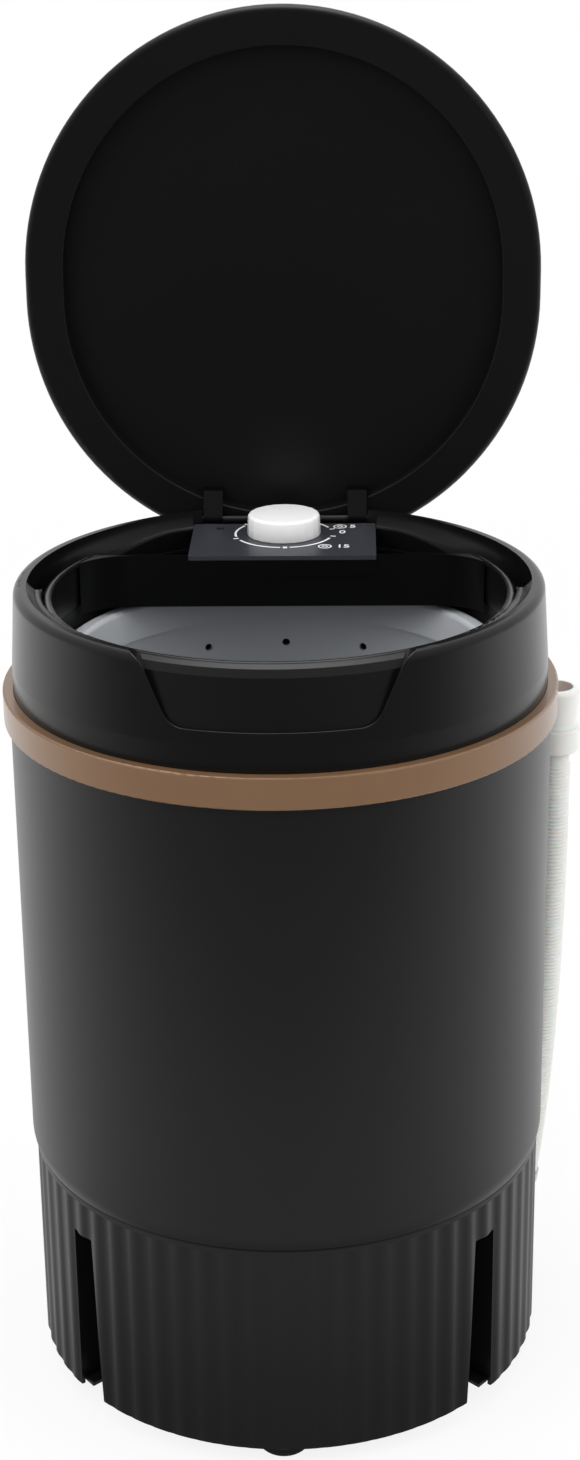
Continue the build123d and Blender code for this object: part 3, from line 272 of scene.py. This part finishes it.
# %% Effect groups
def make_mould_grain():
    """Fine pebbling, its height from two sizes of noise and its tone from a slow cloud."""
    group, low, high = new_group(
        "mould_grain", [("Grain Size", 900.0), ("Cloud Size", 9.0)], ["Height", "Cloud"]
    )
    place = group.nodes.new("ShaderNodeTexCoord")
    fine = add(group, "ShaderNodeTexNoise", Detail=2.0, Roughness=0.55)
    coarse = add(group, "ShaderNodeTexNoise", Detail=1.0, Roughness=0.5)
    cloud = add(group, "ShaderNodeTexNoise", Detail=3.0, Roughness=0.6)
    for noise in (fine, coarse, cloud):
        group.links.new(place.outputs["Object"], noise.inputs["Vector"])
    group.links.new(low.outputs["Grain Size"], fine.inputs["Scale"])
    group.links.new(math_node(group, "MULTIPLY", low.outputs["Grain Size"], 0.31), coarse.inputs["Scale"])
    group.links.new(low.outputs["Cloud Size"], cloud.inputs["Scale"])
    both = math_node(group, "MULTIPLY", coarse.outputs["Fac"], 0.5)
    both = math_node(group, "ADD", fine.outputs["Fac"], both)
    group.links.new(both, high.inputs["Height"])
    group.links.new(cloud.outputs["Fac"], high.inputs["Cloud"])
    return group


def make_brushed():
    """Fine scratches round the Z axis: noise stretched along the height and along the turn."""
    group, low, high = new_group("brushed", [("Stretch", 60.0)], ["Height", "Tone"])
    place = group.nodes.new("ShaderNodeTexCoord")
    squeeze = add(group, "ShaderNodeMapping")
    squeeze.inputs["Scale"].default_value = (8, 8, 900)
    noise = add(group, "ShaderNodeTexNoise", Detail=3.0, Roughness=0.7)
    group.links.new(place.outputs["Object"], squeeze.inputs["Vector"])
    group.links.new(squeeze.outputs["Vector"], noise.inputs["Vector"])
    group.links.new(math_node(group, "MULTIPLY", low.outputs["Stretch"], 0.02), noise.inputs["Scale"])
    group.links.new(noise.outputs["Fac"], high.inputs["Height"])
    group.links.new(noise.outputs["Fac"], high.inputs["Tone"])
    return group


effects = {"mould_grain": make_mould_grain(), "brushed": make_brushed()}
print("effect groups", sorted(effects))

# %% [markdown]
# ## Finishes
# Every finish is one Principled shader. The colour moves a little between two close shades by the
# slow cloud, the roughness moves with it, and the grain goes through a Bump node. The plain
# numbers, such as how strongly the surface mirrors, sit on the shader itself.


# %% Finish maker
def finish(
    name, dark, light, rough, rough_swing=0.06, grain=900.0, bump=0.15, depth=0.00004, cloud=9.0,
    effect="mould_grain", **shader,
):
    """Material that mixes two shades by a cloud, with grain as bump; extra names go to the shader."""
    material = bpy.data.materials.new(name)
    material.use_nodes = True
    tree = material.node_tree
    surface = tree.nodes["Principled BSDF"]
    group = tree.nodes.new("ShaderNodeGroup")
    group.node_tree = effects[effect]
    if effect == "mould_grain":
        group.inputs["Grain Size"].default_value = grain
        group.inputs["Cloud Size"].default_value = cloud
        tone = group.outputs["Cloud"]
    else:
        group.inputs["Stretch"].default_value = grain
        tone = group.outputs["Tone"]
    shades = add(tree, "ShaderNodeMix", data_type="RGBA")
    shades.inputs[6].default_value, shades.inputs[7].default_value = (*dark, 1), (*light, 1)
    tree.links.new(tone, shades.inputs[0])
    tree.links.new(shades.outputs[2], surface.inputs["Base Color"])
    spread = math_node(tree, "MULTIPLY", tone, rough_swing)
    tree.links.new(math_node(tree, "ADD", spread, rough - rough_swing / 2), surface.inputs["Roughness"])
    relief = add(tree, "ShaderNodeBump", Strength=bump, Distance=depth)
    tree.links.new(group.outputs["Height"], relief.inputs["Height"])
    tree.links.new(relief.outputs["Normal"], surface.inputs["Normal"])
    for label, value in shader.items():
        surface.inputs[label.replace("_", " ")].default_value = value
    return material


def srgb(*levels):
    """Linear colour from three levels of 0 to 255 as a picture holds them."""
    share = np.array(levels) / 255
    return tuple(np.where(share <= 0.04045, share / 12.92, ((share + 0.055) / 1.055) ** 2.4))


# %% Finishes of the part
finishes = {
    "black_shell": finish(
        "satin_black", srgb(14, 14, 14), srgb(18, 18, 18), 0.36, 0.05, 1500, 0.10, Specular_IOR_Level=0.5
    ),
    "black_lid": finish(
        "grained_black", srgb(8, 8, 8), srgb(12, 12, 12), 0.42, 0.06, 1800, 0.22, Specular_IOR_Level=0.35
    ),
    "bronze_trim": finish(
        "bronze_paint", srgb(114, 85, 60), srgb(126, 96, 69), 0.34, 0.05, 2200, 0.08, Metallic=0.12,
        Specular_IOR_Level=0.5, Coat_Weight=0.35, Coat_Roughness=0.14,
    ),
    "dark_ring": finish(
        "dark_grey", srgb(13, 13, 14), srgb(17, 17, 18), 0.26, 0.05, 1500, 0.08, Specular_IOR_Level=0.5
    ),
    "grey_panel": finish(
        "blue_grey", srgb(48, 49, 55), srgb(53, 54, 60), 0.38, 0.05, 1600, 0.12, Specular_IOR_Level=0.5
    ),
    "white_knob": finish(
        "knob_white", srgb(244, 244, 244), srgb(247, 247, 247), 0.26, 0.04, 1200, 0.05,
        Specular_IOR_Level=0.5, Coat_Weight=0.2, Coat_Roughness=0.12,
    ),
    "white_plastic": finish("plain_white", srgb(226, 226, 222), srgb(234, 234, 231), 0.42),
    "grey_tub": finish("tub_grey", srgb(30, 30, 31), srgb(36, 36, 37), 0.42),
    "pale_basket": finish("basket_pale", srgb(176, 179, 183), srgb(188, 190, 194), 0.36, cloud=5.0),
    "pale_hose": finish(
        "hose_cloudy", srgb(216, 216, 212), srgb(226, 226, 223), 0.34, 0.08, 700, 0.08,
        Subsurface_Weight=0.35, Subsurface_Scale=0.006,
    ),
    "steel": finish(
        "bright_steel", srgb(196, 197, 199), srgb(214, 214, 216), 0.24, 0.14, 60, 0.12, effect="brushed",
        Metallic=1.0,
    ),
    "cast_alloy": finish(
        "cast_alloy", srgb(172, 173, 176), srgb(190, 191, 193), 0.5, 0.14, 500, 0.4, Metallic=1.0
    ),
    "motor_paint": finish("motor_paint", srgb(24, 24, 26), srgb(32, 32, 34), 0.45, 0.1, 700, 0.3),
    "black_rubber": finish("matt_rubber", srgb(16, 16, 16), srgb(22, 22, 22), 0.72, 0.1, 500, 0.4),
}
finishes["gloss_collar"] = finish(
    "gloss_collar", srgb(13, 13, 13), srgb(16, 16, 16), 0.26, 0.04, 1500, 0.06, Specular_IOR_Level=0.33
)
# A darker copy of the black plastic, mirroring less, for the hinge arms, the control housing and the lid
# switch: painted shade on these parts behind the mouth.
finishes["painted_shade_black"] = finish(
    "painted_shade_black", srgb(3, 3, 3), srgb(5, 5, 5), 0.3, 0.05, 1500, 0.06, Specular_IOR_Level=0.22
)
finishes["print_white"] = finish(
    "print_white", srgb(228, 229, 230), srgb(238, 238, 239), 0.5, 0.05, 2500, 0.05
)
slot_of = {
    node: piece.data.materials[0].name.split(".")[0] for node, piece in nodes.items() if piece.data.materials
}
for node, slot_name in slot_of.items():
    nodes[node].data.materials.clear()
    nodes[node].data.materials.append(finishes[slot_name])
# The parts behind the mouth take the darker copy of the black plastic, which is painted shade.
own_finish = {
    "collar": "gloss_collar",
    "hinge_arms": "painted_shade_black",
    "control_housing": "painted_shade_black",
    "lid_switch": "painted_shade_black",
    "lid_switch_button": "painted_shade_black",
}
for node, name in own_finish.items():
    nodes[node].data.materials[0] = finishes[name]
ribbed.data.materials.append(finishes["pale_hose"])
print("finishes", len(finishes), "on", len(slot_of), "nodes")

# %% [markdown]
# ## The timer knob
# The knob is turned by wet fingers, so its side has twenty shallow flats. It is a stack of rings:
# each ring's radius follows a twenty-sided figure, and the figure's corners are softened by mixing
# it with a circle. Its edge is a list of steps inwards and upwards, and it starts a little under the
# solid's foot, so that only a hair's gap is left over the panel.


# %% Knob
def closed_stack(rings):
    """Closed surface from rings of points: sides between neighbours, a flat cap at each end."""
    count, around = rings.shape[:2]
    faces = grid_faces(count, around, wrap_columns=True).tolist()
    faces.append(list(range(around))[::-1])
    faces.append(list(range((count - 1) * around, count * around)))
    return rings.reshape(-1, 3), faces


def flat_sided(turn, sides, softness):
    """Share of the full radius at a turn: cos(half step) / cos(angle from the flat's middle)."""
    step = 2 * np.pi / sides
    off_middle = np.mod(turn, step) - step / 2
    return (1 - softness) * np.cos(step / 2) / np.cos(off_middle) + softness


knob_low, knob_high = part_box("timer_knob")
knob_middle = np.array([(knob_low.x + knob_high.x) / 2, (knob_low.y + knob_high.y) / 2])
knob_radius = (knob_high.x - knob_low.x) / 2
knob_flats, flat_softness, knob_around = 20, 0.2, 240
knob_turn = np.linspace(0, 2 * np.pi, knob_around, endpoint=False) - np.pi / 2
knob_height = knob_high.z - knob_low.z
knob_edge = np.array(
    [(0.3, -0.9), (0.0, -0.9), (-0.3, -0.6), (0.3, -2.1), (0.5, -1.4), (1.0, -0.8), (1.8, -0.5), (2.8, -0.4)]
) / 1000
knob_edge[3:, 1] += knob_height
knob_share = flat_sided(knob_turn, knob_flats, flat_softness)
knob_reach = (knob_radius - knob_edge[:, :1]) * knob_share
knob_points = np.stack(
    [
        knob_middle[0] + knob_reach * np.cos(knob_turn),
        knob_middle[1] + knob_reach * np.sin(knob_turn),
        np.broadcast_to(knob_low.z + knob_edge[:, 1:], knob_reach.shape),
    ],
    axis=-1,
)
knob = mesh_object("faceted_knob", *closed_stack(knob_points), "timer")
knob.data.materials.append(finishes["white_knob"])
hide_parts("timer_knob")
print("knob radius", round(knob_radius, 4), "volume", volume_of(knob))

# %% [markdown]
# ## The marks on the dial
# The scale round the knob is printed in white: parts of a circle, short strokes, two round signs
# and plain numbers of minutes. Print has almost no height, so each stroke is a very thin raised
# band with a closed surface, which also survives an export as a mesh.

# %% Strokes
print_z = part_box("control_panel")[1].z
print_height = 0.00012
dial_middle = knob_middle
dial_radius = 0.0326


def joined(parts):
    """One array of points and one list of faces from several, each one's numbers moved on."""
    starts = np.cumsum([0] + [len(points) for points, _ in parts])
    faces = [[n + start for n in face] for (_, found), start in zip(parts, starts) for face in found]
    return np.concatenate([points for points, _ in parts]), faces


def stroke(line, width):
    """Thin raised band along a flat line: at each point half a width to each side, and two heights."""
    way = np.gradient(line, axis=0)
    side = np.c_[-way[:, 1], way[:, 0]] / np.linalg.norm(way, axis=1, keepdims=True) * width / 2
    low, high = print_z - print_height, print_z + print_height
    edges = [(line - side, low), (line - side, high), (line + side, high), (line + side, low)]
    rings = np.stack([np.c_[place, np.full(len(line), z)] for place, z in edges], axis=1)
    return closed_stack(rings)


def arc(middle, radius, start, end, step=3.0):
    """Points of a circle between two azimuths in degrees, counted from the front towards +X."""
    turn = np.radians(np.linspace(start, end, max(3, int(abs(end - start) / step))))
    return middle + radius * np.c_[np.sin(turn), -np.cos(turn)]


def spoke(azimuth, inner, outer):
    """Straight stroke's line from one radius to another at an azimuth."""
    way = np.array([math.sin(math.radians(azimuth)), -math.cos(math.radians(azimuth))])
    return dial_middle + np.linspace(inner, outer, 3)[:, None] * way


sign_places = [(0.0376, 0.1365), (0.0278, 0.0905)]
arc_spans = ((-124, -77), (-62, -3), (8, 70), (115, 138))
marks = [stroke(arc(dial_middle, dial_radius, start, end), 0.0015) for start, end in arc_spans]
marks += [stroke(spoke(azimuth, 0.0320, 0.0356), 0.0014) for azimuth in (-130, -70, 78, 107)]
marks.append(stroke(spoke(2.5, 0.0310, 0.0342), 0.0028))
for place in sign_places:
    marks.append(stroke(arc(np.array(place), 0.0041, 0, 360), 0.0009))
    marks.append(stroke(arc(np.array(place), 0.0016, 0, 360), 0.0008))
dial_marks = mesh_object("dial_marks", *joined(marks), "cabinet", smooth=False)
dial_marks.data.materials.append(finishes["print_white"])
print("strokes", len(marks), "volume", volume_of(dial_marks))


# %% Numbers
def number(text, place, size):
    """Flat raised number on the panel: a text turned into a mesh, then moved to its place."""
    letters = bpy.data.curves.new(text, "FONT")
    letters.body, letters.size, letters.extrude = text, size, print_height
    letters.align_x, letters.align_y = "CENTER", "CENTER"
    letters.offset = size * 0.012
    holder = bpy.data.objects.new(text, letters)
    mesh = bpy.data.meshes.new_from_object(holder)
    bpy.data.objects.remove(holder)
    bpy.data.curves.remove(letters)
    mesh.transform(Matrix.Translation((*place, print_z)))
    return mesh


number_size = 0.0092
number_places = [("5", (0.0462, 0.1365)), ("0", (0.0392, 0.1235)), ("15", (0.0398, 0.0905))]
for text, place in number_places:
    mesh = number(text, place, number_size)
    mesh.name = f"number_{text}"
    digit = bpy.data.objects.new(f"number_{text}", mesh)
    bpy.context.scene.collection.objects.link(digit)
    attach(digit, "cabinet")
    digit.data.materials.clear()
    digit.data.materials.append(finishes["print_white"])
print("numbers", [text for text, _ in number_places])

# %% [markdown]
# ## The slope behind the mouth
# Behind the mouth the rim's inner wall runs out into the gutter in a hollow curve, which shows as a
# soft light band. It is a quarter of an ellipse carried round the tub's axis on each side of the
# hinge pocket: upright where it meets the rim, level where it ends. Towards the front it sinks into
# the gutter's floor, and towards the pocket it narrows, because the trays behind the mouth are deep.


# %% Slope
gutter_floor, rim_under = 0.52015, 0.5415
wall_radius, lip_radius = 0.15785, 0.14870


def ramp(value, start, end):
    """0 before the start, 1 after the end, and a smooth step between: 3t^2 - 2t^3."""
    t = np.clip((value - start) / (end - start), 0, 1)
    return t * t * (3 - 2 * t)


def slope(name, side):
    """Hollow quarter ellipse with a straight back, its width, top and foot given by the azimuth."""
    azimuth = np.linspace(94, 156.5, 70)
    risen, near_pocket = ramp(azimuth, 94, 118), ramp(azimuth, 128, 152)
    width = 0.0003 + (wall_radius - lip_radius) * risen * (1 - 0.45 * near_pocket)
    top = gutter_floor + 0.0004 + (rim_under - gutter_floor) * ramp(azimuth, 94, 112)
    lip = gutter_floor + 0.0003 + 0.0055 * risen + 0.0065 * near_pocket
    bend = np.linspace(0, np.pi / 2, 12)[None, :]
    radius = wall_radius - width[:, None] * (1 - np.cos(bend))
    height = top[:, None] - (top - lip)[:, None] * np.sin(bend)
    foot = np.full((len(azimuth), 2), gutter_floor)
    radius = np.c_[radius, wall_radius - width, np.full(len(azimuth), wall_radius)]
    height = np.c_[height, foot]
    turn = np.radians(azimuth * side)[:, None]
    rings = np.stack([radius * np.sin(turn), -radius * np.cos(turn), height], axis=-1)
    piece = mesh_object(name, *closed_stack(rings), "cabinet")
    if volume_of(piece) < 0:
        piece.data.flip_normals()
    piece.data.set_sharp_from_angle(angle=math.radians(40))
    piece.data.materials.append(finishes["gloss_collar"])
    return piece


slopes = [slope("slope_right", 1), slope("slope_left", -1)]
print("slopes", [volume_of(piece) for piece in slopes])

# %% [markdown]
# ## The studio
# The object stands on a pale floor in a bright room that is dim only on the camera's side. That is
# how black plastic is usually photographed: its front stays dark, and its sides catch the bright
# room behind. The world is plain white for the camera, and for reflections it fades from white
# behind the object to grey in front of it. The floor does the same in reflections, and close in
# front of the object it is dimmer still, as it is where a real object shades its own floor.


# %% Floor
def disc(radius, count=128):
    """Flat circle: its rim's points are the radius at even steps of the turn."""
    turn = np.linspace(0, 2 * np.pi, count, endpoint=False)
    return np.c_[radius * np.cos(turn), radius * np.sin(turn), np.zeros(count)], [list(range(count))]


floor_radius, floor_shade, far_white = 6.0, 0.7, 0.14
floor = mesh_object("floor", *disc(floor_radius), "cabinet", smooth=False)
floor.parent = None
floor_material = bpy.data.materials.new("pale_floor")
floor_material.use_nodes = True
tree = floor_material.node_tree
paint = tree.nodes["Principled BSDF"]
paint.inputs["Base Color"].default_value = (0.82, 0.82, 0.82, 1)
paint.inputs["Roughness"].default_value = 0.9
glow = add(tree, "ShaderNodeEmission", Strength=1.0)
rays = tree.nodes.new("ShaderNodeLightPath")
where = tree.nodes.new("ShaderNodeTexCoord")
parts = tree.nodes.new("ShaderNodeSeparateXYZ")
tree.links.new(where.outputs["Object"], parts.inputs[0])
mirror = math_node(tree, "MAXIMUM", rays.outputs["Is Glossy Ray"], rays.outputs["Is Transmission Ray"])
reach = math_node(tree, "MULTIPLY", math_node(tree, "ADD", parts.outputs["Y"], 1.25), 0.62)
reach = math_node(tree, "MINIMUM", math_node(tree, "MAXIMUM", reach, 0.10), 1.15)
away = tree.nodes.new("ShaderNodeVectorMath")
away.operation = "LENGTH"
tree.links.new(where.outputs["Object"], away.inputs[0])
close = math_node(tree, "MULTIPLY", math_node(tree, "SUBTRACT", 0.5, away.outputs["Value"]), 3.6, clamp=True)
ahead = math_node(tree, "MULTIPLY", parts.outputs["Y"], -8.0, clamp=True)
shade = math_node(tree, "MULTIPLY", math_node(tree, "MULTIPLY", close, ahead), floor_shade)
reach = math_node(tree, "MULTIPLY", reach, math_node(tree, "SUBTRACT", 1.0, shade))
less = math_node(tree, "MULTIPLY", mirror, math_node(tree, "SUBTRACT", reach, 1.0))
tree.links.new(math_node(tree, "ADD", less, 1.0), glow.inputs["Strength"])
fade = math_node(tree, "MULTIPLY", math_node(tree, "SUBTRACT", away.outputs["Value"], 0.4), 0.5, clamp=True)
fade = math_node(tree, "ADD", math_node(tree, "MULTIPLY", fade, far_white), 1 - far_white)
seen = math_node(
    tree, "MAXIMUM", mirror, math_node(tree, "MULTIPLY", rays.outputs["Is Camera Ray"], fade)
)
blend = tree.nodes.new("ShaderNodeMixShader")
tree.links.new(seen, blend.inputs[0])
tree.links.new(paint.outputs[0], blend.inputs[1])
tree.links.new(glow.outputs[0], blend.inputs[2])
tree.links.new(blend.outputs[0], tree.nodes["Material Output"].inputs["Surface"])
floor.data.materials.append(floor_material)

# %% World
world = bpy.data.worlds.new("studio")
bpy.context.scene.world = world
world.use_nodes = True
tree = world.node_tree
sky = tree.nodes["Background"]
rays = tree.nodes.new("ShaderNodeLightPath")
where = tree.nodes.new("ShaderNodeTexCoord")
parts = tree.nodes.new("ShaderNodeSeparateXYZ")
tree.links.new(where.outputs["Generated"], parts.inputs[0])
behind = math_node(tree, "MULTIPLY", math_node(tree, "ADD", parts.outputs["Y"], 1.0), 0.5)
mirrored = math_node(tree, "ADD", math_node(tree, "MULTIPLY", behind, 0.95), 0.12, clamp=True)
glossy = math_node(
    tree, "MAXIMUM", rays.outputs["Is Glossy Ray"], rays.outputs["Is Transmission Ray"]
)
ambient = 0.72
mirror_part = math_node(tree, "MULTIPLY", glossy, math_node(tree, "SUBTRACT", mirrored, ambient))
strength = math_node(tree, "ADD", mirror_part, ambient)
camera_part = math_node(
    tree, "MULTIPLY", rays.outputs["Is Camera Ray"], math_node(tree, "SUBTRACT", 1.0, strength)
)
tree.links.new(math_node(tree, "ADD", strength, camera_part), sky.inputs["Strength"])
sky.inputs["Color"].default_value = (1, 1, 1, 1)


# %% Lamps
def softbox(name, place, target, size, power, in_mirror=True):
    """Square lamp at a place, turned to face a target."""
    lamp = bpy.data.objects.new(name, bpy.data.lights.new(name, "AREA"))
    lamp.data.shape, lamp.data.size, lamp.data.energy = "SQUARE", size, power
    bpy.context.scene.collection.objects.link(lamp)
    lamp.location = place
    lamp.rotation_euler = (Vector(target) - Vector(place)).to_track_quat("-Z", "Y").to_euler()
    lamp.visible_glossy = in_mirror
    return lamp


middle = (0, 0, 0.4)
softbox("key_left", (-1.6, -1.2, 1.9), middle, 1.4, 27, in_mirror=False)
softbox("fill_right", (1.8, -0.8, 1.4), middle, 1.4, 18, in_mirror=False)
softbox("top", (0, 0.3, 2.6), middle, 1.6, 28)
print("lamps", len(bpy.data.lights))
